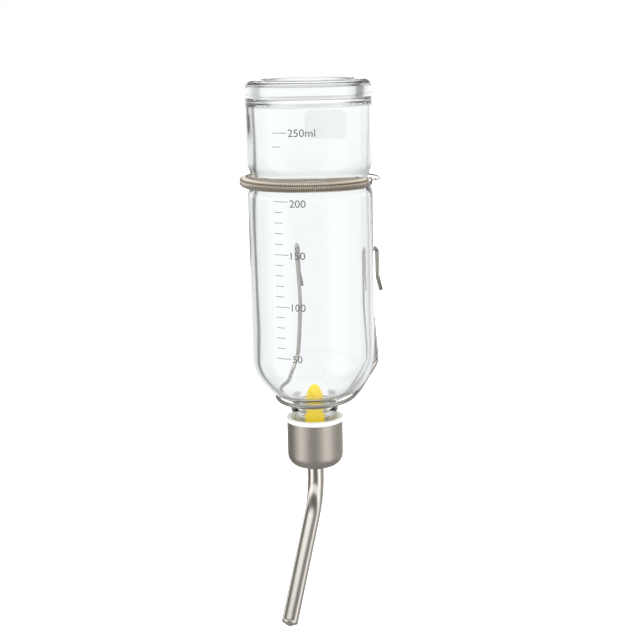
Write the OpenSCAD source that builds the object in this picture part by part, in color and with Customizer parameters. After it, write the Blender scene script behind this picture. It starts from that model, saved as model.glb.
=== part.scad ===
// Hanging glass drinking bottle for a rabbit hutch or cage.
// Frame: X along the cage, Y pointing out of the back of the cage, Z up, in millimetres.
// The origin is the centre of the horizontal cage wire, midway between the two hooks.

/* [Bottle] */
// Distance from the cage wire back to the centre line of the bottle
axis_back = 30; // [29.5:0.1:34]
// Outside diameter of the glass
bottle_d = 56; // [54:0.5:58]
// Thickness of the glass wall
glass_t = 2.2; // [1.6:0.1:2.4]
// Height of the top of the base above the cage wire
base_z = 81.8; // [76:0.2:90]
// Thickness of the heavy glass base
base_t = 9.9; // [8:0.1:12]
// Radius of the rounded base edge
heel_r = 3.6; // [2.5:0.1:4.5]
// Depth of the hollow in the base
punt_d = 2.6; // [1:0.1:4]
// Height at which the round shoulder begins
shoulder_z = -43; // [-44:0.1:-42]
// Height of the shoulder from the straight wall to its pole
shoulder_h = 23; // [22.6:0.1:23.2]

/* [Waist groove] */
// Height of the middle of the groove
groove_z = 38.4; // [30:0.2:50]
// Width of the groove from lip to lip
groove_w = 15; // [13:0.5:18]
// Depth of the groove
groove_d = 1.86; // [1.84:0.01:2.2]

/* [Neck] */
// Outside diameter of the neck under the thread
neck_d = 18.6; // [18.2:0.1:19]
// Bore of the neck
neck_bore = 14; // [13:0.1:14.4]
// Diameter of the bead above the thread
bead_d = 21.8; // [21:0.1:22.4]
// Height of the open rim of the neck
rim_z = -85.6; // [-85.8:0.1:-85.4]
// Advance of the cap for one full turn
thread_lead = 3; // [2.6:0.1:3.4]
// Number of turns on the thread
thread_turns = 1.75; // [1.25:0.25:2]

/* [Cap] */
// Outside diameter of the steel shell
shell_d = 25.8; // [25.4:0.1:26.4]
// Thickness of the steel of the shell
shell_t = 0.5; // [0.4:0.05:0.6]
// Height of the open edge of the shell
shell_top = -73.9; // [-74.4:0.1:-73.6]
// Height of the underside of the shell
shell_bottom = -95.5; // [-96.5:0.1:-95.2]
// Radius of the rounded edge around the underside
shell_r = 5.8; // [5.4:0.1:6.6]
// Diameter of the plastic rim that shows above the shell
rim_d = 26.8; // [26.2:0.1:27.4]
// Height of the plastic rim
rim_t = 2; // [1.5:0.1:2.2]

/* [Drinking tube] */
// Outside diameter of the tube
tube_d = 7.6; // [7.4:0.05:7.8]
// Wall thickness of the tube
tube_t = 0.5; // [0.4:0.05:0.55]
// Height of the open top of the tube inside the neck
tube_top = -80; // [-82:0.2:-79]
// Height at which the bend begins
bend_z = -100.5; // [-110:0.5:-99]
// Radius of the bend
bend_r = 32; // [24:0.5:40]
// Angle of the bend
bend_a = 35; // [20:0.5:45]
// Length of the straight run below the bend
lower_len = 51; // [35:0.5:60]
// Diameter of the stainless balls
ball_d = 6.2; // [6:0.05:6.3]
// Diameter of the drinking opening
mouth_d = 5.2; // [4.9:0.05:5.4]

/* [Float] */
// Diameter of the float
float_d = 9; // [7:0.1:10]
// Length of the float
float_len = 22.6; // [16:0.1:23]

/* [Spring strap] */
// Diameter of the coil body
coil_d = 5; // [4.6:0.05:5.4]
// Diameter of the spring wire
spring_wire = 0.85; // [0.7:0.01:0.9]
// Height of the strap below the middle of the groove
strap_drop = 1.1; // [0:0.1:1.4]
// Distance the strap reaches behind the bottle to pass the cage wires
strap_slack = 5.2; // [5:0.1:8]

/* [Wire holder] */
// Diameter of the holder wire
wire_d = 2; // [1.8:0.05:2.1]
// Diameter of the cage wire that fits inside the hooks
cage_wire_d = 3.2; // [2:0.1:3.2]
// Distance between the two hooks, centre to centre
hook_span = 38.6; // [37:0.2:40]
// Distance between the two legs where they turn forward
foot_span = 42.3; // [41:0.1:44]
// Height at which the legs turn forward
foot_z = -50.9; // [-53:0.1:-50]
// Width of the cradle loop, centre to centre
loop_span = 37.6; // [37:0.1:38]
// Length of the tails behind the cage wire
tail_len = 18; // [12:0.5:24]
// How much farther out the left hook stands than the right one
left_set = 2.4; // [0:0.1:3]

/* [Hidden] */
$fn = 96;
bottle_r = bottle_d / 2;
bore_r = bottle_r - glass_t;
neck_r = neck_d / 2;
thread_r = neck_r + 0.95;
ring_r = bottle_r - groove_d * dip(2 * strap_drop / groove_w) + coil_d / 2 + 0.41;
strap_z = groove_z - strap_drop;
liner_r = shell_d / 2 - shell_t - 0.05;
seat_z = rim_z - 2;
floor_z = seat_z - 4;
tube_r = tube_d / 2;
tube_bore = tube_r - tube_t;
run = 0.05;
tube_dir = [0, -sin(bend_a), -cos(bend_a)];
bend_end = [0, -bend_r * (1 - cos(bend_a)), bend_z - bend_r * sin(bend_a)];
tip = bend_end + lower_len * tube_dir;
seat_r = ball_d / 2 + 0.04;
ball_seat = sqrt(pow(seat_r, 2) - pow(mouth_d / 2, 2));
ball_pos = tip - (ball_seat + 0.35) * tube_dir;

// ---- helpers -------------------------------------------------------------

function unit(v) = v / norm(v);
function turn(p, i) = acos(max(-1, min(1, unit(p[i] - p[i - 1]) * unit(p[i + 1] - p[i]))));
function cut(p, rad, i) = (i == 0 || i == len(p) - 1) ? 0 : rad[i] * tan(turn(p, i) / 2);

// A straight round bar between two points
module bar(a, b, r) {
    d = b - a;
    z = unit(d);
    h = abs(z.x) < 0.9 ? [1, 0, 0] : [0, 1, 0];
    x = unit(cross(h, z));
    y = cross(z, x);
    multmatrix([[x.x, y.x, z.x, a.x], [x.y, y.y, z.y, a.y], [x.z, y.z, z.z, a.z], [0, 0, 0, 1]])
        cylinder(h = norm(d), r = r, $fn = 32);
}

// A round bar bent once at corner i of a path
module elbow(p, rad, i, r) {
    d0 = unit(p[i] - p[i - 1]);
    d1 = unit(p[i + 1] - p[i]);
    n = unit(d1 - (d1 * d0) * d0);
    s = p[i] - cut(p, rad, i) * d0;
    c = s + rad[i] * n;
    x = -n;
    y = d0;
    z = cross(x, y);
    multmatrix([[x.x, y.x, z.x, c.x], [x.y, y.y, z.y, c.y], [x.z, y.z, z.z, c.z], [0, 0, 0, 1]])
        rotate_extrude(angle = turn(p, i), $fn = rad[i] > 8 ? 128 : 48)
            translate([rad[i], 0]) circle(r = r - 0.01, $fn = 32);
}

// A wire that follows a list of corners, each rounded to its own radius; the straight
// runs reach a little way into the bends so that the whole wire is one body
module wire(p, rad, r) {
    for (i = [0 : len(p) - 2]) {
        d = unit(p[i + 1] - p[i]);
        a = p[i] + (i == 0 ? 0 : cut(p, rad, i) - 0.06) * d;
        b = p[i + 1] - (i == len(p) - 2 ? 0 : cut(p, rad, i + 1) - 0.06) * d;
        bar(a, b, r);
    }
    for (i = [1 : len(p) - 2]) elbow(p, rad, i, r);
}

// Everything that shares the centre line of the bottle
module on_axis() translate([0, -axis_back, 0]) children();

// Corners of one helical ridge: root and crest follow the lead, both ends fade out
function ridge_r(a, total, root, crest) = root + (crest - root) * min(1, min(a, total - a) / 40);
function ridge_pts(z0, root, sink, crest, w0, w1, total, n) = [
    for (i = [0 : n]) let (a = total * i / n, z = z0 + thread_lead * a / 360,
                           rc = ridge_r(a, total, root, crest))
        for (q = [[sink, -w0 / 2], [rc, -w1 / 2], [rc, w1 / 2], [sink, w0 / 2]])
            [q[0] * cos(a), q[0] * sin(a), z + q[1]]];
module ridge(z0, root, sink, crest, w0, w1, total, flip) {
    n = ceil(total / 12);
    pts = ridge_pts(z0, root, sink, crest, w0, w1, total, n);
    side = [for (i = [0 : n - 1]) for (k = [0 : 3])
        let (a = 4 * i + k, b = 4 * i + (k + 1) % 4) [a, b, b + 4, a + 4]];
    caps = [[3, 2, 1, 0], [4 * n, 4 * n + 1, 4 * n + 2, 4 * n + 3]];
    all_f = concat(side, caps);
    polyhedron(pts, flip ? [for (f = all_f) [for (k = [len(f) - 1 : -1 : 0]) f[k]]] : all_f, convexity = 6);
}

// ---- bottle --------------------------------------------------------------

// Half height of the groove where it is t deep, as a smooth dip
function dip(u) = (1 + cos(180 * u)) / 2;
function groove_line(r, depth, up) = [for (i = [0 : 16]) let (u = -1 + i / 8)
    [r - depth * dip(u), groove_z + (up ? 1 : -1) * u * groove_w / 2]];
function shoulder_line(r, h, r_end) = let (a_end = acos(r_end / r))
    [for (i = [0 : 16]) let (a = a_end * i / 16) [r * cos(a), shoulder_z - h * sin(a)]];

module glass_profile() {
    neck_top = shoulder_z - shoulder_h * sin(acos(10.4 / bottle_r));
    outer = concat(
        [[0, base_z - punt_d], [bottle_r * 0.42, base_z - punt_d + 0.25], [bottle_r * 0.62, base_z - punt_d + 0.9],
         [bottle_r * 0.72, base_z - 0.7], [bottle_r * 0.77, base_z - 0.12], [bottle_r * 0.8, base_z]],
        [for (i = [0 : 8]) let (a = 90 - 90 * i / 8)
            [bottle_r - heel_r + heel_r * cos(a), base_z - heel_r + heel_r * sin(a)]],
        groove_line(bottle_r, groove_d, false),
        shoulder_line(bottle_r, shoulder_h, 10.4),
        [[9.9, neck_top - 0.9], [9.9, -66.6], [bead_d / 2 - 0.35, -67.2], [bead_d / 2, -67.9], [bead_d / 2, -68.7],
         [bead_d / 2 - 0.35, -69.4], [neck_r, -70.1], [neck_r, rim_z + 0.6], [neck_r - 0.6, rim_z]]);
    inner = concat(
        [[neck_bore / 2 + 0.5, rim_z], [neck_bore / 2, rim_z + 0.5], [neck_bore / 2, shoulder_z - shoulder_h + 2.2]],
        [for (i = [0 : 14]) let (a0 = acos((neck_bore / 2 + 0.9) / bore_r), a = a0 * (1 - i / 14))
            [bore_r * cos(a), shoulder_z - (shoulder_h - 2.4) * sin(a)]],
        groove_line(bore_r, groove_d * 0.6, true),
        [for (i = [0 : 6]) let (a = 90 * i / 6)
            [bore_r - 4 + 4 * cos(a), base_z - base_t - 4 + 4 * sin(a)]],
        [[bottle_r * 0.4, base_z - base_t - 0.5], [0, base_z - base_t - 0.8]]);
    polygon(concat(outer, inner));
}

module glass_bottle() color([0.86, 0.93, 0.93, 0.45]) on_axis() {
    rotate_extrude() glass_profile();
    translate([0, 0, rim_z + 2.2])
        ridge(0, neck_r, neck_r - 0.5, thread_r, 1.9, 0.8, 360 * thread_turns, false);
}

// ---- spring strap --------------------------------------------------------

// Azimuth t runs from the front of the bottle towards its right side
function on_ring(r, t, back) = [r * sin(t), -r * cos(t) + (back ? strap_slack : 0), 0];
front_end = 75;
back_end = 155;
eye_c = [28.6, -0.5, 0];
eye_r = 1.45;
eye_half = 1.1;
hook_r = 1.5;
hook_tilt = 35;
hook_y = eye_c.y + eye_half + eye_r - spring_wire - 0.15;
coil_wall = 0.7;

// Solid round body of the strap: front arc in the groove, short straight side, back arc
module strap_body(r, more) {
    rotate([0, 0, -180]) rotate_extrude(angle = 90 + front_end + more, $fn = 160)
        translate([ring_r, 0]) circle(r = r - 0.01, $fn = 48);
    translate([0, strap_slack, 0]) rotate([0, 0, back_end - 90 - more]) rotate_extrude(angle = 270 - back_end + more, $fn = 160)
        translate([ring_r, 0]) circle(r = r - 0.01, $fn = 48);
    translate([-ring_r, -0.3, 0]) rotate([-90, 0, 0]) cylinder(h = strap_slack + 0.6, r = r, $fn = 48);
}

module strap_spring() color([0.62, 0.58, 0.52]) on_axis() translate([0, 0, strap_z]) difference() {
    strap_body(coil_d / 2, 0);
    strap_body(coil_d / 2 - coil_wall, 1);
}

// The back end of the spring runs round the right side and turns into an open hook
module strap_hook() color([0.7, 0.67, 0.62]) on_axis() translate([0, 0, strap_z]) {
    a = [cos(hook_tilt), 0, sin(hook_tilt)] * hook_r;
    s0 = on_ring(ring_r, back_end - 1.5, true);
    s2 = on_ring(ring_r, 94, true);
    t0 = [-cos(back_end - 1.5), -sin(back_end - 1.5), 0];
    s1 = s0 + t0 * ring_r * tan((back_end - 1.5 - 94) / 2);
    e = [eye_c.x, 0, 0];
    wire([s0, s1, s2 + [0.1, -1.2, 0],
          e + a + [0, hook_y + 2.6, 0], e + a + [0, hook_y, 0], e - a + [0, hook_y, 0],
          e - a + [0, hook_y + 2.4, 0]],
         [0, ring_r - 1, 1.5, 1, hook_r, hook_r, 0], spring_wire / 2);
}

// The front end of the spring is closed into a long eye
module strap_eye() color([0.7, 0.67, 0.62]) on_axis() translate([0, 0, strap_z]) {
    r = spring_wire / 2;
    s0 = on_ring(ring_r, front_end + 1.5, false);
    bar(s0, eye_c - [0, eye_half + eye_r, 0], r);
    for (s = [-1, 1]) {
        bar(eye_c + [0, -eye_half, s * eye_r], eye_c + [0, eye_half, s * eye_r], r);
        translate(eye_c + [0, s * eye_half, 0]) rotate([s > 0 ? 0 : 180, 0, 0]) rotate([0, 90, 0])
            rotate_extrude(angle = 180, $fn = 48) translate([eye_r, 0]) circle(r = r, $fn = 32);
    }
}

// ---- wire holder ---------------------------------------------------------

module wire_holder() color([0.66, 0.65, 0.62]) {
    r = wire_d / 2;
    hr = cage_wire_d / 2 + r;
    hx = hook_span / 2;
    fx = foot_span / 2;
    lx = loop_span / 2;
    ly = -axis_back;
    ux = hx - 0.7;
    flare = tail_len - 11;
    half = [[hx + 0.9, hr + flare * 0.55, -tail_len], [hx + 0.6, hr, -11], [hx + 0.45, hr, hr], [ux, -hr, hr],
            [ux, -hr, -24], [fx, -hr, foot_z], [lx - 0.5, ly + 9.2, -60.95], [lx, ly - 15.2, -63.8]];
    hrad = [0, 5, hr, hr, 60, 5, 14, lx - 0.6];
    set_out = [1, 1, 1, 1, 0.5, 0, 0, 0] * left_set;
    other = [for (i = [len(half) - 1 : -1 : 0]) [-half[i].x - set_out[i], half[i].y, half[i].z]];
    orad = [for (i = [len(hrad) - 1 : -1 : 0]) hrad[i]];
    wire(concat(half, other), concat(hrad, orad), r);
}

// ---- float ---------------------------------------------------------------

module float() color([0.98, 0.82, 0.16]) on_axis() translate([0, 0, tube_top + 0.1]) difference() {
    rotate_extrude() polygon(concat(
        [[0, 0], [float_d / 2 - 1.2, 0], [float_d / 2 - 0.35, 0.35], [float_d / 2, 1.2]],
        [for (i = [0 : 12]) let (a = 90 * i / 12)
            [float_d / 2 * cos(a), float_len * 0.5 + float_len * 0.5 * sin(a)]]));
    for (a = [0, 90]) rotate([0, 0, a]) translate([0, 0, 0.2]) cube([float_d + 2, 1.6, 2.4], center = true);
}

// ---- cap -----------------------------------------------------------------

module neck_gasket() color([0.86, 0.86, 0.82]) on_axis() translate([0, 0, seat_z + 0.03]) difference() {
    cylinder(h = 1.9, r = 10.1);
    translate([0, 0, -1]) cylinder(h = 4, r = 7.7);
}

module cap_liner() color([0.93, 0.93, 0.9]) on_axis() {
    cr = shell_r - shell_t - 0.05;
    cz = shell_bottom + shell_r;
    cx = shell_d / 2 - shell_r;
    a1 = asin((cz - floor_z) / cr);
    rotate_extrude() polygon(concat(
        [[5.5, floor_z], [5.5, seat_z], [10.3, seat_z], [10.45, seat_z + 0.15], [10.45, shell_top + rim_t - 1.6],
         [11.1, shell_top + rim_t - 0.5], [11.5, shell_top + rim_t], [rim_d / 2 - 0.4, shell_top + rim_t],
         [rim_d / 2, shell_top + rim_t - 0.4], [rim_d / 2, shell_top + 0.35], [rim_d / 2 - 0.3, shell_top + 0.03],
         [liner_r, shell_top + 0.03]],
        [for (i = [0 : 6]) let (a = a1 * i / 6) [cx + cr * cos(a), cz - cr * sin(a)]]));
    translate([0, 0, rim_z + 2.2 - thread_lead / 2]) rotate([0, 0, 0])
        ridge(0, 10.45, 10.9, 9.55, 1.9, 0.8, 360 * thread_turns + 180, true);
}

module cap_shell() color([0.6, 0.57, 0.53]) on_axis() {
    ro = shell_d / 2;
    cx = ro - shell_r;
    cz = shell_bottom + shell_r;
    hole = tube_r + 0.45;
    rotate_extrude() polygon(concat(
        [[ro - shell_t, shell_top], [ro - 0.12, shell_top], [ro, shell_top - 0.12]],
        [for (i = [0 : 10]) let (a = 90 * i / 10) [cx + shell_r * cos(a), cz - shell_r * sin(a)]],
        [[hole + 1.25, shell_bottom], [hole + 0.95, shell_bottom - 0.35], [hole + 0.5, shell_bottom - 0.55],
         [hole + 0.12, shell_bottom - 0.42], [hole, shell_bottom - 0.15], [hole, shell_bottom + shell_t]],
        [for (i = [10 : -1 : 0]) let (a = 90 * i / 10)
            [cx + (shell_r - shell_t) * cos(a), cz - (shell_r - shell_t) * sin(a)]]));
}

// Rubber grommet: flange above the liner floor, waist through it, flange below it
module tube_grommet() color([0.2, 0.2, 0.2]) on_axis() difference() {
    rotate_extrude() polygon([[2, floor_z - 3.3], [6.1, floor_z - 3.3], [6.6, floor_z - 2.6], [6.9, floor_z - 0.02],
        [5.48, floor_z - 0.02], [5.48, seat_z + 0.02], [7.4, seat_z + 0.02], [7.4, seat_z + 0.9],
        [6.8, seat_z + 1.4], [2, seat_z + 1.4]]);
    translate([0, 0, floor_z - 5]) cylinder(h = 12, r = tube_r + run);
}

// ---- drinking tube -------------------------------------------------------

// Upper run and bend as one round body
module tube_body(r, more) {
    translate([0, 0, bend_z - 0.2]) cylinder(h = tube_top - bend_z + 0.2 + more, r = r);
    translate([0, -bend_r, bend_z]) rotate([0, -90, 0]) rotate([0, 0, 90])
        rotate_extrude(angle = bend_a, $fn = 160) translate([bend_r, 0]) circle(r = r - 0.01, $fn = 64);
}

module drinking_tube() color([0.7, 0.68, 0.64]) on_axis() {
    difference() {
        union() {
            tube_body(tube_r, 0);
            // rolled collar that stops the tube being pulled out of the grommet
            translate([0, 0, seat_z + 1.5]) rotate_extrude() polygon([[tube_r - 0.3, 0], [5.1, 0], [5.3, 0.2], [5.3, 0.9],
                [5.1, 1.1], [tube_r - 0.3, 1.1]]);
            // straight lower run with its mouth rolled in
            translate(bend_end) rotate([180 - bend_a, 0, 0]) rotate_extrude() polygon(concat(
                [[0, -0.2], [tube_r, -0.2]],
                [for (i = [0 : 6]) let (a = 90 * i / 6)
                    [tube_r - 1.1 + 1.1 * cos(a), lower_len - 1.5 + 1.5 * sin(a)]],
                [[0, lower_len]]));
        }
        tube_body(tube_bore, 1);
        translate(bend_end) rotate([180 - bend_a, 0, 0]) rotate_extrude() polygon(concat(
            [[0, -0.25], [tube_bore, -0.25], [tube_bore, lower_len - 0.65 - ball_seat]],
            [for (i = [0 : 6]) let (a = asin(ball_seat / seat_r) * i / 6)
                [seat_r * cos(a), lower_len - 0.35 - ball_seat + seat_r * sin(a)]],
            [[mouth_d / 2, lower_len + 1], [0, lower_len + 1]]));
    }
}

module tip_ball() color([0.75, 0.74, 0.72]) on_axis() translate(ball_pos) sphere(d = ball_d);
module upper_ball() color([0.75, 0.74, 0.72]) on_axis()
    translate(ball_pos - (ball_d + 0.03) * tube_dir) sphere(d = ball_d);

wire_holder();
glass_bottle();
strap_spring();
strap_hook();
strap_eye();
float();
neck_gasket();
cap_liner();
cap_shell();
tube_grommet();
drinking_tube();
tip_ball();
upper_ball();
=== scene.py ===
import math

import bpy
import bmesh
from mathutils import Matrix, Vector


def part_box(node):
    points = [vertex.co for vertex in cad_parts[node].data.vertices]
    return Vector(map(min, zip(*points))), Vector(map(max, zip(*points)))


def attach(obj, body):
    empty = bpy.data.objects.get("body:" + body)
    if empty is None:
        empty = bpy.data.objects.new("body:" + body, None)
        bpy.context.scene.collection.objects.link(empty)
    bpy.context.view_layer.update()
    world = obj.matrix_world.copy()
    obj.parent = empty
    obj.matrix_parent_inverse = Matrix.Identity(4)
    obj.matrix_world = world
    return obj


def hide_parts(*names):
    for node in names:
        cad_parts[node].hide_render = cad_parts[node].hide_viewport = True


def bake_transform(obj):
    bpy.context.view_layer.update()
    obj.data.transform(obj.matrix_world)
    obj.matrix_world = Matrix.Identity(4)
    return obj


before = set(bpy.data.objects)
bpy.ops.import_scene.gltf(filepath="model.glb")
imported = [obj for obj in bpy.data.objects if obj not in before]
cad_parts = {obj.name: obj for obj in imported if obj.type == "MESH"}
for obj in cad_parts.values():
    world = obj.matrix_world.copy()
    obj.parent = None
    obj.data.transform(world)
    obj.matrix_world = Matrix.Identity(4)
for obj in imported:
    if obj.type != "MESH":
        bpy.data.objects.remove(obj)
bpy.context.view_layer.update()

MM = 0.001
lo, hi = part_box("glass_bottle")
AX = Vector(((lo.x + hi.x) / 2, (lo.y + hi.y) / 2, 0.0))      # centre line of the bottle
BASE_Z = hi.z / MM
RIM_Z = lo.z / MM
RB = (hi.x - lo.x) / 2 / MM                                   # bottle radius, mm


# ------------------------------------------------------------------ mesh helpers

def mesh_object(name, verts, faces, smooth=True, mats=None, face_mats=None):
    me = bpy.data.meshes.new(name)
    me.from_pydata([tuple(v) for v in verts], [], faces)
    me.validate()
    bm = bmesh.new()
    bm.from_mesh(me)
    bmesh.ops.recalc_face_normals(bm, faces=bm.faces)
    bm.to_mesh(me)
    bm.free()
    for p in me.polygons:
        p.use_smooth = smooth
    ob = bpy.data.objects.new(name, me)
    bpy.context.scene.collection.objects.link(ob)
    for m in mats or []:
        me.materials.append(m)
    if face_mats:
        for p, k in zip(me.polygons, face_mats):
            p.material_index = k
    return ob


def lathe(name, profile, n=192, wobble=None, origin=AX, smooth=True, mats=None):
    """Closed profile of (r, z) in mm turned about the vertical line through origin. Points with r 0 close on the axis."""
    verts, rings = [], []
    for k, (r, z) in enumerate(profile):
        if r < 1e-6:
            rings.append([len(verts)])
            verts.append(origin + Vector((0, 0, z * MM)))
            continue
        ring = []
        for i in range(n):
            a = 2 * math.pi * i / n
            rr = r + (wobble(k, a, r, z) if wobble else 0.0)
            ring.append(len(verts))
            verts.append(origin + Vector((rr * math.sin(a) * MM, -rr * math.cos(a) * MM, z * MM)))
        rings.append(ring)
    faces = []
    m = len(rings)
    for k in range(m):
        a, b = rings[k], rings[(k + 1) % m]
        if len(a) == 1 and len(b) == 1:
            continue
        for i in range(n):
            j = (i + 1) % n
            if len(a) == 1:
                faces.append((a[0], b[i], b[j]))
            elif len(b) == 1:
                faces.append((a[i], b[0], a[j]))
            else:
                faces.append((a[i], b[i], b[j], a[j]))
    return mesh_object(name, verts, faces, smooth, mats)


def frames_along(pts):
    """Tangent and two normals at each point, carried along without twist."""
    n = len(pts)
    tang = []
    for i in range(n):
        d = pts[min(i + 1, n - 1)] - pts[max(i - 1, 0)]
        tang.append(d.normalized())
    ref = Vector((0, 0, 1)) if abs(tang[0].z) < 0.9 else Vector((1, 0, 0))
    u = (ref - ref.dot(tang[0]) * tang[0]).normalized()
    out = []
    for t in tang:
        u = (u - u.dot(t) * t).normalized()
        out.append((t, u, t.cross(u)))
    return out


def sweep(name, pts, r, sides=16, mats=None, round_ends=True, radii=None):
    """Round bar along points in mm, with softly rounded ends."""
    pts = [Vector(p) for p in pts]
    fr = frames_along(pts)
    verts, rings = [], []

    def ring(c, f, rad):
        idx = []
        for i in range(sides):
            a = 2 * math.pi * i / sides
            idx.append(len(verts))
            verts.append((c + rad * (math.cos(a) * f[1] + math.sin(a) * f[2])) * MM)
        rings.append(idx)

    rad0 = radii[0] if radii else r
    rad1 = radii[-1] if radii else r
    if round_ends:
        for k in range(3):
            a = math.pi / 2 * k / 3 * 0.95
            ring(pts[0] + fr[0][0] * rad0 * 0.35 * (1 - math.sin(a)), fr[0], rad0 * (1 - 0.35 * (1 - math.sin(a))) if k else rad0 * 0.62)
    for i, (p, f) in enumerate(zip(pts, fr)):
        if round_ends and (i == 0 or i == len(pts) - 1):
            q = rad0 * 0.36 if i == 0 else -rad1 * 0.36
            p = p + f[0] * q
        ring(p, f, radii[i] if radii else r)
    if round_ends:
        for k in (2, 1, 0):
            a = math.pi / 2 * k / 3 * 0.95
            ring(pts[-1] - fr[-1][0] * rad1 * 0.35 * (1 - math.sin(a)), fr[-1], rad1 * (1 - 0.35 * (1 - math.sin(a))) if k else rad1 * 0.62)
    faces = []
    for a, b in zip(rings[:-1], rings[1:]):
        for i in range(sides):
            j = (i + 1) % sides
            faces.append((a[i], a[j], b[j], b[i]))
    faces.append(tuple(reversed(rings[0])))
    faces.append(tuple(rings[-1]))
    return mesh_object(name, verts, faces, True, mats)


def bent_path(corners, radii, step=0.5):
    """Corners in mm, each rounded to its own radius, as a dense list of points."""
    P = [Vector(c) for c in corners]
    out = [P[0]]
    prev = P[0]
    for i in range(1, len(P) - 1):
        d0 = (P[i] - P[i - 1]).normalized()
        d1 = (P[i + 1] - P[i]).normalized()
        turn = math.acos(max(-1, min(1, d0.dot(d1))))
        t = radii[i] * math.tan(turn / 2)
        s = P[i] - t * d0
        n = (d1 - d1.dot(d0) * d0).normalized()
        c = s + radii[i] * n
        run = (s - prev).length
        k = max(1, int(run / 4))
        for j in range(1, k + 1):
            if run > 1e-3:
                out.append(prev.lerp(s, j / k))
        m = max(4, int(math.degrees(turn) / 5))
        for j in range(1, m + 1):
            a = turn * j / m
            out.append(c - radii[i] * math.cos(a) * n + radii[i] * math.sin(a) * d0)
        prev = out[-1]
    run = (P[-1] - prev).length
    k = max(1, int(run / 4))
    for j in range(1, k + 1):
        out.append(prev.lerp(P[-1], j / k))
    return out


# ------------------------------------------------------------------ node materials

class Nodes:
    def __init__(self, name):
        self.mat = bpy.data.materials.new(name)
        self.mat.use_nodes = True
        self.t = self.mat.node_tree
        self.t.nodes.clear()
        self.out = self.t.nodes.new("ShaderNodeOutputMaterial")

    def add(self, kind, **kw):
        n = self.t.nodes.new(kind)
        for k, v in kw.items():
            if k in n.inputs.keys():
                n.inputs[k].default_value = v
            else:
                setattr(n, k, v)
        return n

    def link(self, a, b):
        self.t.links.new(a, b)

    def math(self, op, a, b=None, c=None, clamp=False):
        n = self.t.nodes.new("ShaderNodeMath")
        n.operation = op
        n.use_clamp = clamp
        for i, v in enumerate((a, b, c)):
            if v is None:
                continue
            if isinstance(v, (int, float)):
                n.inputs[i].default_value = v
            else:
                self.link(v, n.inputs[i])
        return n.outputs[0]

    def ramp(self, fac, stops):
        n = self.t.nodes.new("ShaderNodeValToRGB")
        e = n.color_ramp.elements
        while len(e) > 1:
            e.remove(e[-1])
        e[0].position, e[0].color = stops[0][0], (*stops[0][1], 1)
        for p, c in stops[1:]:
            x = e.new(p)
            x.color = (*c, 1)
        self.link(fac, n.inputs[0])
        return n.outputs[0]

    def noise(self, vec, scale, detail=3.0, rough=0.5):
        n = self.add("ShaderNodeTexNoise", Scale=scale, Detail=detail, Roughness=rough)
        self.link(vec, n.inputs["Vector"])
        return n.outputs["Fac"]

    def mapped(self, scale=(1, 1, 1), loc=(0, 0, 0)):
        tc = self.t.nodes.new("ShaderNodeTexCoord")
        m = self.t.nodes.new("ShaderNodeMapping")
        m.inputs["Scale"].default_value = scale
        m.inputs["Location"].default_value = loc
        self.link(tc.outputs["Object"], m.inputs["Vector"])
        return m.outputs["Vector"]

    def bump(self, height, strength, distance):
        n = self.add("ShaderNodeBump", Strength=strength, Distance=distance)
        self.link(height, n.inputs["Height"])
        return n.outputs["Normal"]


def polar_vector(k, around=1.0, along=1.0):
    """(angle * around, distance, z * along) about the bottle's centre line, for marks that run round or along it."""
    tc = k.t.nodes.new("ShaderNodeTexCoord")
    sub = k.add("ShaderNodeVectorMath", operation="SUBTRACT")
    sub.inputs[1].default_value = AX
    k.link(tc.outputs["Object"], sub.inputs[0])
    sep = k.t.nodes.new("ShaderNodeSeparateXYZ")
    k.link(sub.outputs[0], sep.inputs[0])
    ang = k.math("ARCTAN2", sep.outputs[0], sep.outputs[1])
    com = k.t.nodes.new("ShaderNodeCombineXYZ")
    k.link(k.math("MULTIPLY", ang, around), com.inputs[0])
    k.link(k.math("MULTIPLY", sep.outputs[2], along), com.inputs[2])
    return com.outputs[0], sep


def metal(name, color, rough, vec_kind="plain", grain=(60, 60, 900), grain_bump=0.06, vary=0.12, dirt=0.25, aniso=0.0):
    k = Nodes(name)
    b = k.add("ShaderNodeBsdfPrincipled")
    b.inputs["Metallic"].default_value = 1.0
    if vec_kind == "round":
        vec, sep = polar_vector(k, around=0.6, along=grain[2])
        lines = k.noise(vec, 1.0, 6.0, 0.7)
    else:
        vec = k.mapped(grain)
        lines = k.noise(vec, 1.0, 5.0, 0.65)
    big = k.noise(k.mapped((45, 45, 30)), 1.0, 4.0, 0.55)
    mixc = k.add("ShaderNodeMix", data_type="RGBA")
    dark = tuple(c * (1 - dirt) for c in color)
    mixc.inputs[6].default_value = (*dark, 1)
    mixc.inputs[7].default_value = (*color, 1)
    f = k.math("MULTIPLY_ADD", big, 0.7, k.math("MULTIPLY", lines, 0.3), clamp=True)
    k.link(k.math("MULTIPLY_ADD", f, 1.6, -0.3, clamp=True), mixc.inputs[0])
    k.link(mixc.outputs[2], b.inputs["Base Color"])
    r = k.math("MULTIPLY_ADD", lines, vary, rough - vary / 2)
    r = k.math("MULTIPLY_ADD", big, vary * 0.6, r)
    k.link(r, b.inputs["Roughness"])
    if aniso:
        b.inputs["Anisotropic"].default_value = aniso
        tan = k.t.nodes.new("ShaderNodeTangent")
        tan.direction_type = "RADIAL"
        tan.axis = "Z"
        k.link(tan.outputs[0], b.inputs["Tangent"])
    k.link(k.bump(lines, grain_bump, 0.0002), b.inputs["Normal"])
    k.link(b.outputs[0], k.out.inputs[0])
    return k.mat


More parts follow.
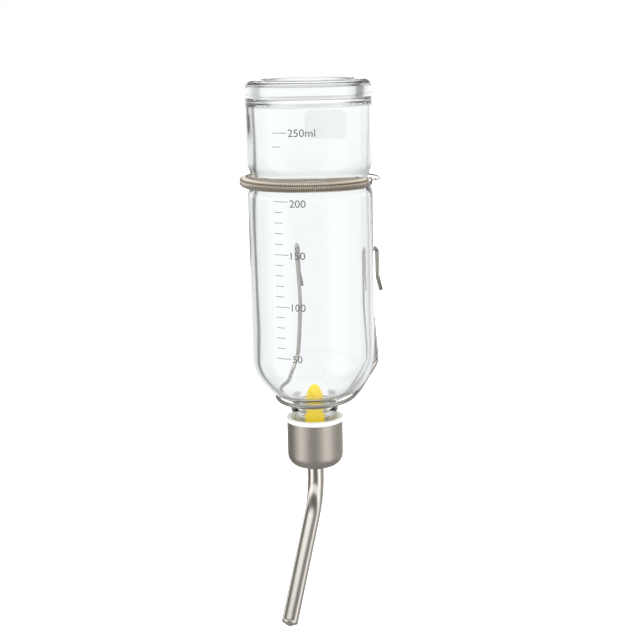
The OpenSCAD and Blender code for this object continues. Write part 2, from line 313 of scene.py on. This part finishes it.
def plastic(name, color, dark, rough=0.35, sss=0.0, speck=700.0, bump=0.05, coat=0.0, painted_glow=0.0):
    k = Nodes(name)
    b = k.add("ShaderNodeBsdfPrincipled")
    n1 = k.noise(k.mapped((60, 60, 60)), 1.0, 4.0, 0.6)
    n2 = k.noise(k.mapped((speck, speck, speck)), 1.0, 3.0, 0.6)
    k.link(k.ramp(n1, [(0.3, dark), (0.7, color)]), b.inputs["Base Color"])
    k.link(k.math("MULTIPLY_ADD", n2, 0.12, rough - 0.06), b.inputs["Roughness"])
    k.link(k.bump(n2, bump, 0.0001), b.inputs["Normal"])
    if sss:
        b.inputs["Subsurface Weight"].default_value = sss
        b.inputs["Subsurface Radius"].default_value = (1.0, 0.7, 0.4)
        b.inputs["Subsurface Scale"].default_value = 0.0015
    # painted light: the plastic emits its own colour, so it glows brighter than the lamps light it
    if painted_glow:
        b.inputs["Emission Color"].default_value = (*color, 1)
        b.inputs["Emission Strength"].default_value = painted_glow
    if coat:
        b.inputs["Coat Weight"].default_value = coat
        b.inputs["Coat Roughness"].default_value = 0.08
    k.link(b.outputs[0], k.out.inputs[0])
    return k.mat


def clear_glass():
    k = Nodes("bottle_glass")
    g = k.add("ShaderNodeBsdfPrincipled", Roughness=0.0, IOR=1.5)
    g.inputs["Transmission Weight"].default_value = 1.0
    # blown glass: slow waves in the surface and a faint green in the thick parts
    w1 = k.noise(k.mapped((26, 26, 9)), 1.0, 2.0, 0.5)
    w2 = k.noise(k.mapped((150, 150, 60), (3, 1, 2)), 1.0, 2.0, 0.5)
    h = k.math("MULTIPLY_ADD", w2, 0.12, w1)
    k.link(k.bump(h, 0.2, 0.0006), g.inputs["Normal"])
    k.link(k.ramp(w1, [(0.3, (0.988, 0.994, 0.991)), (0.7, (0.993, 0.997, 0.995))]), g.inputs["Base Color"])
    # light reaches what is inside the glass
    lp = k.t.nodes.new("ShaderNodeLightPath")
    tr = k.t.nodes.new("ShaderNodeBsdfTransparent")
    tr.inputs[0].default_value = (0.97, 0.98, 0.975, 1)
    mix = k.t.nodes.new("ShaderNodeMixShader")
    k.link(lp.outputs["Is Shadow Ray"], mix.inputs[0])
    k.link(g.outputs[0], mix.inputs[1])
    k.link(tr.outputs[0], mix.inputs[2])
    k.link(mix.outputs[0], k.out.inputs[0])
    return k.mat


def frosted():
    k = Nodes("frosted_mark")
    g = k.add("ShaderNodeBsdfPrincipled", Roughness=0.6)
    n = k.noise(k.mapped((400, 400, 400)), 1.0, 3.0, 0.6)
    k.link(k.ramp(n, [(0.3, (0.84, 0.85, 0.84)), (0.7, (0.92, 0.93, 0.92))]), g.inputs["Base Color"])
    tr = k.t.nodes.new("ShaderNodeBsdfTransparent")
    tr.inputs[0].default_value = (0.985, 0.99, 0.988, 1)
    mix = k.t.nodes.new("ShaderNodeMixShader")
    k.link(k.math("MULTIPLY_ADD", n, 0.1, 0.06), mix.inputs[0])
    k.link(tr.outputs[0], mix.inputs[1])
    k.link(g.outputs[0], mix.inputs[2])
    k.link(mix.outputs[0], k.out.inputs[0])
    return k.mat


def print_ink():
    k = Nodes("scale_print")
    b = k.add("ShaderNodeBsdfPrincipled", Roughness=0.55)
    n = k.noise(k.mapped((2600, 2600, 2600)), 1.0, 3.0, 0.6)
    k.link(k.ramp(n, [(0.3, (0.08, 0.08, 0.082)), (0.7, (0.13, 0.13, 0.132))]), b.inputs["Base Color"])
    tr = k.t.nodes.new("ShaderNodeBsdfTransparent")
    mix = k.t.nodes.new("ShaderNodeMixShader")
    k.link(k.math("MULTIPLY_ADD", n, 0.2, 0.76), mix.inputs[0])
    k.link(tr.outputs[0], mix.inputs[1])
    k.link(b.outputs[0], mix.inputs[2])
    k.link(mix.outputs[0], k.out.inputs[0])
    return k.mat


M_GLASS = clear_glass()
M_SHELL = metal("cap_steel", (0.57, 0.53, 0.475), 0.32, "round", (1, 1, 5200), 0.35, 0.16, 0.18, aniso=0.45)
M_TUBE = metal("tube_steel", (0.74, 0.70, 0.655), 0.13, "plain", (700, 700, 14), 0.10, 0.10, 0.16)
M_COIL = metal("spring_steel", (0.62, 0.56, 0.47), 0.18, "plain", (400, 400, 400), 0.05, 0.08, 0.18)
M_HOOK = metal("hook_steel", (0.62, 0.58, 0.53), 0.22, "plain", (300, 300, 300), 0.08, 0.12, 0.25)
M_WIRE = metal("holder_steel", (0.52, 0.50, 0.47), 0.13, "plain", (260, 260, 60), 0.06, 0.08, 0.2)
M_BALL = metal("ball_steel", (0.6, 0.58, 0.54), 0.1, "plain", (200, 200, 200), 0.03, 0.06, 0.1)
# the last argument is a painted glow: emission that brightens the liner, float, gasket and grommet beyond their
# lighting
M_LINER = plastic("liner_plastic", (0.70, 0.71, 0.67), (0.64, 0.65, 0.60), 0.3, 0.25, 500, 0.05, 0.2, 0.14)
M_FLOAT = plastic("float_plastic", (1.0, 0.74, 0.012), (0.98, 0.68, 0.008), 0.3, 0.15, 500, 0.05, 0.3, 0.38)
M_GASKET = plastic("gasket_rubber", (0.74, 0.74, 0.70), (0.66, 0.66, 0.62), 0.55, 0.1, 900, 0.15, 0.0, 0.6)
M_RUBBER = plastic("grommet_rubber", (0.66, 0.66, 0.63), (0.56, 0.56, 0.53), 0.5, 0.1, 1400, 0.2, 0.0, 0.4)
M_INK = print_ink()
M_FROST = frosted()


# ------------------------------------------------------------------ glass bottle

GZ, GW, GD = 38.4, 15.0, 1.86      # waist groove: height, width, depth
SZ, SH = -43.0, 23.0               # shoulder: where it begins, height to its pole
WALL, LEAN = 2.6, 0.55             # wall in the straight part, and how far its inside sits to one side


def groove(r, depth, up, n=30):
    pts = []
    for i in range(n + 1):
        u = -1 + 2 * i / n
        pts.append((r - depth * (1 + math.cos(math.pi * u)) / 2, GZ + (1 if up else -1) * u * GW / 2))
    return pts


def bottle_profile():
    bz = BASE_Z

    def bezier(p0, p1, p2, n=16):
        return [((1 - t) ** 2 * p0[0] + 2 * t * (1 - t) * p1[0] + t * t * p2[0],
                 (1 - t) ** 2 * p0[1] + 2 * t * (1 - t) * p1[1] + t * t * p2[1]) for t in (i / n for i in range(1, n + 1))]

    def wave(r0, z0, r1, z1, n=14):
        return [(r0 + (r1 - r0) * (1 - math.cos(math.pi * i / n)) / 2, z0 + (z1 - z0) * i / n) for i in range(1, n + 1)]

    outer = [(0, bz - 2.6), (4, bz - 2.58), (8, bz - 2.5), (RB * 0.42, bz - 2.33), (RB * 0.52, bz - 2.05), (RB * 0.6, bz - 1.75),
             (RB * 0.66, bz - 1.3), (RB * 0.71, bz - 0.75), (RB * 0.75, bz - 0.28), (RB * 0.78, bz - 0.07), (RB * 0.81, bz)]
    hr = 3.6
    for i in range(1, 15):
        a = math.radians(90 - 90 * i / 14)
        outer.append((RB - hr + hr * math.cos(a), bz - hr + hr * math.sin(a)))
    for z in (70, 66, 62, 58, 54, 50):
        outer.append((RB, z))
    outer += groove(RB, GD, False)
    z = 26
    while z > SZ + 2:
        outer.append((RB, z))
        z -= 5
    end = math.acos(12.2 / RB)
    for i in range(0, 41):
        a = end * i / 40
        outer.append((RB * math.cos(a), SZ - SH * math.sin(a)))
    r0, z0 = outer[-1]
    zc = z0 - (r0 - 9.9) * SH * math.cos(end) / (RB * math.sin(end))
    outer += bezier((r0, z0), (9.9, zc), (9.9, zc - 1.5))
    outer += wave(9.9, -66.35, 10.9, -68.2) + wave(10.9, -68.4, 9.3, -70.5)
    z = -71.0
    while z > RIM_Z + 1.0:
        outer.append((9.3, z))
        z -= 0.3
    outer += [(9.3, RIM_Z + 0.7), (9.22, RIM_Z + 0.35), (9.0, RIM_Z + 0.12), (8.7, RIM_Z)]
    inner = [(7.5, RIM_Z), (7.2, RIM_Z + 0.12), (7.04, RIM_Z + 0.35), (7.0, RIM_Z + 0.7), (7.0, -80), (7.0, -76), (7.0, -72), (7.0, -69), (7.0, -66.5)]
    br, bh = RB - WALL, SH - 2.4
    a0 = math.acos(9.6 / br)
    r0, z0 = br * math.cos(a0), SZ - bh * math.sin(a0)
    zc = z0 - (r0 - 7.0) * bh * math.cos(a0) / (br * math.sin(a0))
    inner += [(7.0, zc - 1.9)] + list(reversed(bezier((r0, z0), (7.0, zc), (7.0, zc - 1.6))))
    for i in range(0, 33):
        a = a0 * (1 - i / 32)
        inner.append((br * math.cos(a), SZ - bh * math.sin(a)))
    z = -36
    while z < 28:
        inner.append((br, z))
        z += 5
    inner += groove(br, GD * 0.5, True)
    for z in (50, 54, 58, 62, 66):
        inner.append((br, z))
    fl = BASE_Z - 7.9
    for i in range(0, 12):
        a = math.radians(90 * i / 11)
        inner.append((br - 4 + 4 * math.cos(a), fl - 4 + 4 * math.sin(a)))
    inner += [(RB * 0.7, fl - 0.05), (RB * 0.55, fl - 0.2), (RB * 0.4, fl - 0.5), (6, fl - 0.7), (0, fl - 0.8)]
    return outer, inner


outer, inner = bottle_profile()
n_outer = len(outer)


def thread_height(deg, z):
    """Ridge of the screw thread on the neck at this angle and height."""
    best = 0.0
    for turn in (0, 1):
        d = deg + 360 * turn
        if d > 630:
            continue
        f = min(1.0, min(d, 630 - d) / 40)
        u = abs(z - (RIM_Z + 2.2 + 3.0 * d / 360))
        best = max(best, 0.9 * f * f * (3 - 2 * f) * min(1.0, max(0.0, (0.95 - u) / 0.5)))
    return best


def glass_wobble(k, a, r, z):
    """The inside of blown glass is never quite round: the wall is a little thicker here and thinner there."""
    if k < n_outer and abs(r - 9.3) < 0.01 and RIM_Z + 1 < z < -70.6:
        return thread_height(math.degrees(a) % 360, z)
    if k < n_outer or r < 12 or z < SZ - 14:
        return 0.0
    low = min(1.0, max(0.0, (z - SZ + 14) / 16))
    lean = LEAN * math.cos(a - math.radians(112.5)) * low * min(1.0, max(0.0, (r - 12) / 8))
    if z < SZ:
        return lean
    fade = min(1.0, max(0.0, (BASE_Z - 7.9 - z) / 6)) * min(1.0, (z - SZ) / 12)
    w = 0.10 * math.sin(2 * a + 0.7 + z * 0.021) + 0.07 * math.sin(3 * a - 1.1 - z * 0.035) + 0.05 * math.sin(5 * a + z * 0.06)
    w += 0.05 * math.sin(z * 0.13 + 2.0 * math.sin(a)) + 0.03 * math.sin(7 * a + 0.4 + z * 0.09)
    return lean + w * 0.8 * fade


bottle = lathe("bottle_body", outer + inner, 256, glass_wobble, mats=[M_GLASS])


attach(bottle, "bottle")
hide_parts("glass_bottle")


# ------------------------------------------------------------------ printed scale

def on_glass(x_deg, z, r):
    a = math.radians(x_deg)
    return AX + Vector((r * math.sin(a) * MM, -r * math.cos(a) * MM, z * MM))


def band(a0, a1, z0, z1, r0, r1, name, mat, steps=6):
    """Thin curved patch between two azimuths and two heights."""
    verts, faces = [], []
    for i in range(steps + 1):
        a = a0 + (a1 - a0) * i / steps
        for r, z in ((r0, z0), (r1, z0), (r1, z1), (r0, z1)):
            verts.append(on_glass(a, z, r))
    for i in range(steps):
        b = 4 * i
        for k in range(4):
            m = (k + 1) % 4
            faces.append((b + k, b + m, b + 4 + m, b + 4 + k))
    faces.append((3, 2, 1, 0))
    e = 4 * steps
    faces.append((e, e + 1, e + 2, e + 3))
    return mesh_object(name, verts, faces, False, [mat])


def ml_z(ml):
    return -38.7 + (ml - 50) * (23.15 / 50) if ml <= 210 else {240: 54.2, 250: 60.1}[ml]


def curved_text(body, size, width, a_start, z_mid, name):
    cu = bpy.data.curves.new(name, "FONT")
    cu.body = body
    cu.size = size
    cu.align_x = "LEFT"
    cu.align_y = "CENTER"
    cu.resolution_u = 6
    cu.extrude = 0.0
    cu.offset = 0.012
    ob = bpy.data.objects.new(name + "_src", cu)
    bpy.context.scene.collection.objects.link(ob)
    bpy.context.view_layer.update()
    me = bpy.data.meshes.new_from_object(ob)
    bpy.data.objects.remove(ob)
    bm = bmesh.new()
    bm.from_mesh(me)
    bmesh.ops.triangulate(bm, faces=bm.faces)
    ys = [v.co.y for v in bm.verts]
    xs = [v.co.x for v in bm.verts]
    ym = (min(ys) + max(ys)) / 2
    x0 = min(xs)
    wide = width / (max(xs) - x0)
    geom = bmesh.ops.extrude_face_region(bm, geom=list(bm.faces))
    top = [g for g in geom["geom"] if isinstance(g, bmesh.types.BMVert)]
    tops = set(top)
    for v in bm.verts:
        a = a_start + math.degrees((v.co.x - x0) * wide / RB)
        v.co = on_glass(a, z_mid + (v.co.y - ym), RB + (0.035 if v in tops else 0.008))
    bmesh.ops.recalc_face_normals(bm, faces=bm.faces)
    bm.to_mesh(me)
    bm.free()
    me.materials.append(M_INK)
    o2 = bpy.data.objects.new(name, me)
    bpy.context.scene.collection.objects.link(o2)
    return o2


def join(objs, name):
    bm = bmesh.new()
    for o in objs:
        bm.from_mesh(o.data)
    me = bpy.data.meshes.new(name)
    bm.to_mesh(me)
    bm.free()
    for m in objs[0].data.materials:
        me.materials.append(m)
    for o in objs:
        bpy.data.objects.remove(o)
    ob = bpy.data.objects.new(name, me)
    bpy.context.scene.collection.objects.link(ob)
    return ob


R0, R1 = RB + 0.008, RB + 0.035
ticks = []
for ml in list(range(50, 201, 10)) + [240, 250]:
    major = ml % 50 == 0
    z = ml_z(ml)
    ticks.append(band(-12, 2 if major else -3.6, z - 0.13, z + 0.13, R0, R1, f"tick_{ml}", M_INK))
scale_ticks = join(ticks, "scale_ticks")
numbers = [curved_text(t, 4.6, w, 3.6, ml_z(v) - drop, f"num_{v}") for t, v, w, drop in
           (("50", 50, 4.3, 0), ("100", 100, 6.2, 0), ("150", 150, 6.5, 0.25), ("200", 200, 7.1, 0.8), ("250ml", 250, 11.8, 0))]
scale_numbers = join(numbers, "scale_numbers")


def frost_patch(az, wide, z0, z1, corner, name, n=28, m=18):
    """Plain frosted mark with rounded corners, lying on the outside of the glass."""
    verts, faces = [], []
    zm, hh, hw = (z0 + z1) / 2, (z1 - z0) / 2, wide / 2
    for layer in (R0, R1):
        for j in range(m + 1):
            v = math.sin(math.pi / 2 * (-1 + 2 * j / m)) * hh
            e = max(0.0, abs(v) - (hh - corner))
            w = hw - corner + math.sqrt(max(0.0, corner * corner - e * e)) if e > 0 else hw
            for i in range(n + 1):
                verts.append(on_glass(az + math.degrees(w * (-1 + 2 * i / n) / RB), zm + v, layer))
    q = (m + 1) * (n + 1)
    for j in range(m):
        for i in range(n):
            a0, b0 = j * (n + 1) + i, (j + 1) * (n + 1) + i
            faces.append((a0, a0 + 1, b0 + 1, b0))
            faces.append((q + a0, q + b0, q + b0 + 1, q + a0 + 1))
    for j in range(m):
        for i in (0, n):
            a0, b0 = j * (n + 1) + i, (j + 1) * (n + 1) + i
            faces.append((a0, b0, q + b0, q + a0))
    for i in range(n):
        for j in (0, m):
            a0 = j * (n + 1) + i
            faces.append((a0, a0 + 1, q + a0 + 1, q + a0))
    return mesh_object(name, verts, faces, False, [M_FROST])


frost_mark = frost_patch(185.0, 22.2, 53.7, 67.4, 3.2, "frosted_mark")
for ob in (scale_ticks, scale_numbers, frost_mark):
    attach(ob, "bottle")

# ------------------------------------------------------------------ spring strap

lo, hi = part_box("strap_spring")
RING_R = 29.147
TZ = GZ - 1.1                      # height of the strap
SLACK = 5.2
FRONT_END, BACK_END = 75.0, 155.0
WIRE = 0.85
COIL_R = 2.5 - WIRE / 2


def ring_point(s):
    """Point, tangent and outward direction at length s (mm) along the strap from its front end round to its back end."""
    l1 = RING_R * math.radians(FRONT_END + 90)
    l2 = SLACK
    if s <= l1:
        t = math.radians(FRONT_END) - s / RING_R
        c, back = Vector((0, 0, TZ)), 0
    elif s <= l1 + l2:
        u = s - l1
        return (Vector((-RING_R, u, TZ)), Vector((0, 1, 0)), Vector((-1, 0, 0)))
    else:
        t = math.radians(-90) - (s - l1 - l2) / RING_R
        c, back = Vector((0, SLACK, TZ)), 1
    o = Vector((math.sin(t), -math.cos(t), 0))
    tan = Vector((-math.cos(t), -math.sin(t), 0))
    return c + RING_R * o, tan, o


L_FRONT = RING_R * math.radians(FRONT_END + 90)
L_ALL = L_FRONT + SLACK + RING_R * math.radians(270 - BACK_END)
AXMM = Vector((0, AX.y / MM, 0))


def coil_piece(name, s0, s1, pitch, phase=0.0, start_tail=None, end_tail=None):
    """Close-wound coil between two lengths along the strap, with optional straight tails (points in mm)."""
    turns = (s1 - s0) / pitch
    n = int(turns * 18)
    pts = []
    for i in range(n + 1):
        s = s0 + (s1 - s0) * i / n
        p, tan, o = ring_point(s)
        up = Vector((0, 0, 1))
        a = 2 * math.pi * (s - s0) / pitch + phase
        pts.append(p + COIL_R * (math.cos(a) * o + math.sin(a) * up) + AXMM)
    if start_tail:
        pts = [Vector(q) + AXMM for q in start_tail] + pts
    if end_tail:
        pts = pts + [Vector(q) + AXMM for q in end_tail]
    return sweep(name, pts, WIRE / 2 * 0.985, 8, [M_COIL])


PITCH = 0.862
front = coil_piece("strap_coil_front", 0.45, L_FRONT + 1.0, PITCH)
n_front = (L_FRONT + 1.0 - 0.45) / PITCH
back = coil_piece("strap_coil_back", L_FRONT + 1.0 + PITCH * 0.12, L_ALL - 0.45, PITCH, phase=2 * math.pi * n_front + 0.7)
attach(front, "bottle")
for ob in (front, back):
    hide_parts("strap_spring")
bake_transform(back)

# ------------------------------------------------------------------ CAD pieces that keep their shape

for node, mat in (("wire_holder", M_WIRE), ("strap_hook", M_HOOK), ("strap_eye", M_HOOK), ("neck_gasket", M_GASKET),
                  ("cap_liner", M_LINER), ("tube_grommet", M_RUBBER), ("tip_ball", M_BALL), ("upper_ball", M_BALL),
                  ("cap_shell", M_SHELL), ("drinking_tube", M_TUBE), ("float", M_FLOAT)):
    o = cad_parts[node]
    o.data.materials.clear()
    o.data.materials.append(mat)

# ------------------------------------------------------------------ camera

F_PX, PITCH_DEG, AZ, DIST, EYE = 1363.0, 12.03, 22.48, 0.6087, 0.1029
a = math.radians(AZ)
cam_pos = Vector((AX.x + DIST * math.sin(a), AX.y - DIST * math.cos(a), EYE))
yaw = a - math.radians(0.307)
fwd = Vector((-math.sin(yaw), math.cos(yaw), 0)) * math.cos(math.radians(PITCH_DEG)) + Vector((0, 0, -math.sin(math.radians(PITCH_DEG))))
cam_data = bpy.data.cameras.new("camera")
cam_data.sensor_width = 36.0
cam_data.lens = F_PX / 640 * 36.0
cam_data.clip_start = 0.01
cam_data.clip_end = 50
cam = bpy.data.objects.new("camera", cam_data)
bpy.context.scene.collection.objects.link(cam)
right = fwd.cross(Vector((0, 0, 1))).normalized()
upv = right.cross(fwd).normalized()
roll = math.radians(1.1)
r2 = right * math.cos(roll) - upv * math.sin(roll)
u2 = upv * math.cos(roll) + right * math.sin(roll)
rot = Matrix((r2, u2, -fwd)).transposed()
cam.matrix_world = Matrix.Translation(cam_pos) @ rot.to_4x4()
bpy.context.scene.camera = cam

# ------------------------------------------------------------------ stage and light

sc = bpy.context.scene
sc.view_settings.view_transform = "Standard"
sc.view_settings.look = "None"
sc.view_settings.exposure = 0.0
sc.view_settings.gamma = 1.0


def floor_material():
    k = Nodes("pale_floor")
    b = k.add("ShaderNodeBsdfPrincipled", Roughness=0.9)
    n = k.noise(k.mapped((3, 3, 3)), 1.0, 3.0, 0.5)
    k.link(k.ramp(n, [(0.3, (0.93, 0.93, 0.93)), (0.7, (0.95, 0.95, 0.95))]), b.inputs["Base Color"])
    b.inputs["Emission Color"].default_value = (1, 1, 1, 1)
    b.inputs["Emission Strength"].default_value = 0.75
    k.link(b.outputs[0], k.out.inputs[0])
    return k.mat


me = bpy.data.meshes.new("floor")
bm = bmesh.new()
bmesh.ops.create_circle(bm, cap_ends=True, segments=96, radius=6.0)
bm.to_mesh(me)
bm.free()
floor = bpy.data.objects.new("floor", me)
me.materials.append(floor_material())
floor.location = (0, 0, -0.42)
sc.collection.objects.link(floor)
floor.visible_glossy = False
floor.visible_transmission = False

world = bpy.data.worlds.new("studio")
sc.world = world
world.use_nodes = True
wt = world.node_tree
wt.nodes.clear()


def wnode(kind):
    return wt.nodes.new(kind)


def wmath(op, a, b=None, clamp=False):
    n = wnode("ShaderNodeMath")
    n.operation = op
    n.use_clamp = clamp
    for i, v in enumerate((a, b)):
        if v is None:
            continue
        if isinstance(v, (int, float)):
            n.inputs[i].default_value = v
        else:
            wt.links.new(v, n.inputs[i])
    return n.outputs[0]


tc = wnode("ShaderNodeTexCoord")
sep = wnode("ShaderNodeSeparateXYZ")
wt.links.new(tc.outputs["Camera"], sep.inputs[0])
az = wmath("ARCTAN2", sep.outputs[0], sep.outputs[2])          # 0 straight ahead, + to the right
fac = wmath("MULTIPLY_ADD", az, 1 / (2 * math.pi))
wt.nodes[-1].inputs[2].default_value = 0.5
sep2 = wnode("ShaderNodeSeparateXYZ")
wt.links.new(tc.outputs["Generated"], sep2.inputs[0])
elev = wmath("MULTIPLY_ADD", wmath("ARCSINE", sep2.outputs[2]), 1 / math.pi)     # 0 straight down, 1 straight up
wt.nodes[-1].inputs[2].default_value = 0.5


def wramp(source, stops, lo, hi, tint=(1.0, 0.995, 0.985)):
    """Grey ramp over stops given in degrees."""
    n = wnode("ShaderNodeValToRGB")
    wt.links.new(source, n.inputs[0])
    e = n.color_ramp.elements
    while len(e) > 1:
        e.remove(e[-1])
    for i, (d, v) in enumerate(stops):
        p = (d - lo) / (hi - lo)
        c = (v * tint[0], v * tint[1], v * tint[2], 1)
        if i == 0:
            e[0].position, e[0].color = p, c
        else:
            x = e.new(p)
            x.color = c
    return n.outputs[0]


def wmix(f, a, b):
    n = wnode("ShaderNodeMix")
    n.data_type = "RGBA"
    wt.links.new(f, n.inputs[0])
    wt.links.new(a, n.inputs[6])
    wt.links.new(b, n.inputs[7])
    return n.outputs[2]


# what polished metal and the outside of the glass mirror: white cards left and right, a dark room between them
REFLECT = [  # degrees from the view direction, brightness
    (-180, 0.20), (-150, 0.24), (-138, 0.75), (-128, 1.5), (-104, 1.6), (-92, 0.35), (-60, 0.12), (-34, 0.22), (-24, 1.0),
    (24, 1.0), (34, 0.55), (60, 0.42), (84, 0.45), (104, 0.6), (112, 1.5), (140, 1.6), (150, 0.6), (165, 0.22), (180, 0.20)]
REFLECT_UP = [(-90, 0.3), (-60, 0.45), (-42, 0.3), (-30, 0.2), (-8, 0.3), (-3, 1.5), (7, 1.5), (14, 0.16), (33, 0.16), (43, 1.25), (56, 2.0), (90, 2.0)]
around = wramp(fac, REFLECT, -180, 180)
updown = wramp(elev, REFLECT_UP, -90, 90)
blend_up = wramp(elev, [(-90, 1), (-42, 1), (-30, 0), (-8, 0), (-3, 0.75), (7, 0.75), (14, 0.85), (90, 1)], -90, 90, (1, 1, 1))
reflect = wmix(blend_up, around, updown)

# what is seen through the glass: the white backdrop, a little greyer far to the sides
THROUGH = [(-180, 0.97), (-62, 0.97), (-52, 0.8), (-46, 0.3), (-38, 0.3), (-34, 0.8), (-26, 0.98), (-14, 1.0), (14, 1.0), (28, 0.98),
           (34, 0.92), (38, 0.6), (46, 0.6), (54, 0.85), (66, 0.97), (180, 0.97)]
THROUGH_UP = [(-90, 1.0), (-52, 0.95), (-43, 0.5), (-34, 0.62), (-28, 1.0), (3, 1.0), (9, 0.72), (17, 0.6), (25, 0.9), (60, 1.0), (90, 1.0)]
plain = wnode("ShaderNodeRGB")
plain.outputs[0].default_value = (1.03, 1.03, 1.03, 1)
thru_f = wramp(elev, [(-90, 1), (-60, 1), (-34, 0), (26, 0), (50, 1), (90, 1)], -90, 90, (1, 1, 1))
thru = wmix(thru_f, wramp(fac, THROUGH, -180, 180, (0.972, 0.992, 1.0)), plain.outputs[0])
mul = wnode("ShaderNodeVectorMath")
mul.operation = "MULTIPLY"
wt.links.new(thru, mul.inputs[0])
wt.links.new(wramp(elev, THROUGH_UP, -90, 90, (1, 1, 1)), mul.inputs[1])
through = mul.outputs[0]

lp = wnode("ShaderNodeLightPath")


def wback(color, strength=1.0):
    n = wnode("ShaderNodeBackground")
    if isinstance(color, tuple):
        n.inputs[0].default_value = color
    else:
        wt.links.new(color, n.inputs[0])
    n.inputs[1].default_value = strength
    return n.outputs[0]


def wmixs(f, a, b):
    n = wnode("ShaderNodeMixShader")
    wt.links.new(f, n.inputs[0])
    wt.links.new(a, n.inputs[1])
    wt.links.new(b, n.inputs[2])
    return n.outputs[0]


shader = wback((1.0, 1.0, 1.0, 1), 1.25)                        # soft light on everything matt
shader = wmixs(lp.outputs["Is Glossy Ray"], shader, wback(reflect))
shader = wmixs(lp.outputs["Is Transmission Ray"], shader, wback(through))
shader = wmixs(lp.outputs["Is Camera Ray"], shader, wback((1.0, 1.0, 1.0, 1)))
wo = wnode("ShaderNodeOutputWorld")
wt.links.new(shader, wo.inputs[0])
world.cycles.sampling_method = "NONE"


def area(name, loc, target, size, power, color=(1, 1, 1)):
    ld = bpy.data.lights.new(name, "AREA")
    ld.shape = "RECTANGLE"
    ld.size, ld.size_y = size
    ld.energy = power
    ld.color = color
    ob = bpy.data.objects.new(name, ld)
    ob.location = loc
    d = (Vector(target) - Vector(loc)).normalized()
    ob.rotation_euler = d.to_track_quat("-Z", "Y").to_euler()
    sc.collection.objects.link(ob)
    return ob


key = area("soft_top", (0.1, -0.4, 1.3), (0, 0, 0), (1.6, 1.6), 14)
key.visible_glossy = False
key.visible_transmission = False
